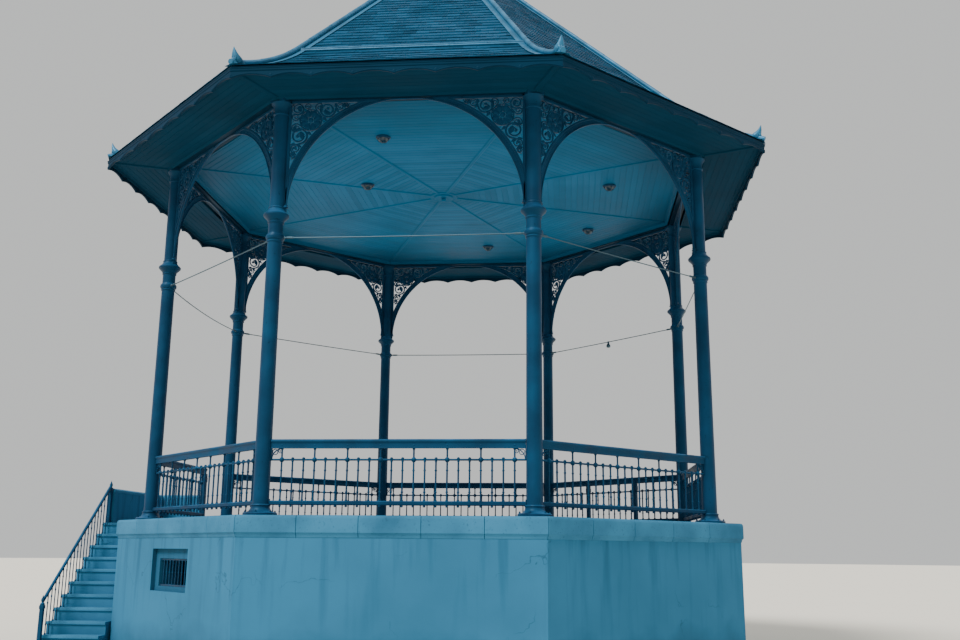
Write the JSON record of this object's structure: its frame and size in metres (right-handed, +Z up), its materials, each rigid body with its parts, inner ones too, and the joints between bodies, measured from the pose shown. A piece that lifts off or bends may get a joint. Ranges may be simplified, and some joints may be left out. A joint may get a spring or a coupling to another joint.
{
  "type": "octagonal bandstand",
  "caption": "Octagonal bandstand: raised masonry platform, cast-iron columns with openwork arches and railings, scalloped eaves and a bell-shaped roof.",
  "frame": {"origin": "middle of the octagon, at ground level", "axes": "+Z up; the front side faces -Y; the stair is on the left side, towards -X"},
  "size_m": [10.6723, 10.3632, 13.2673],
  "materials": {
    "render": "smooth painted render",
    "stone_edge": "painted dressed edge",
    "floor": "tiled floor",
    "iron": "painted cast iron",
    "ceiling_board": "painted boards",
    "soffit_board": "painted boards",
    "fascia": "painted sheet",
    "roof_sheet": "small overlapping sheet tiles",
    "lead": "rolled flashing",
    "timber": "sawn",
    "wire": "weathered wire"
  },
  "bodies": {
    "root": {"base_wall": "render", "vent_grille": "iron", "coping": "stone_edge", "floor_slab": "floor", "column_front_right": "iron", "column_right_front": "iron", "column_right_back": "iron", "column_back_right": "iron", "column_back_left": "iron", "column_left_back": "iron", "column_left_front": "iron", "column_front_left": "iron", "arch_front": "iron", "railing_front": "iron", "arch_right_front": "iron", "railing_right_front": "iron", "arch_right": "iron", "railing_right": "iron", "arch_right_back": "iron", "railing_right_back": "iron", "arch_back": "iron", "railing_back": "iron", "arch_left_back": "iron", "railing_left_back": "iron", "arch_left": "iron", "railing_left": "iron", "arch_left_front": "iron", "railing_left_front": "iron", "ring_beam": "iron", "ceiling": "ceiling_board", "soffit": "soffit_board", "fascia_valance": "fascia", "roof_front": "roof_sheet", "roof_right_front": "roof_sheet", "roof_right": "roof_sheet", "roof_right_back": "roof_sheet", "roof_back": "roof_sheet", "roof_left_back": "roof_sheet", "roof_left": "roof_sheet", "roof_left_front": "roof_sheet", "hip_rafters": "timber", "hip_rolls": "lead", "break_roll": "lead", "finial": "iron", "tie_wires": "wire", "stair": "render", "stair_railing": "iron"}
  },
  "joints": []
}
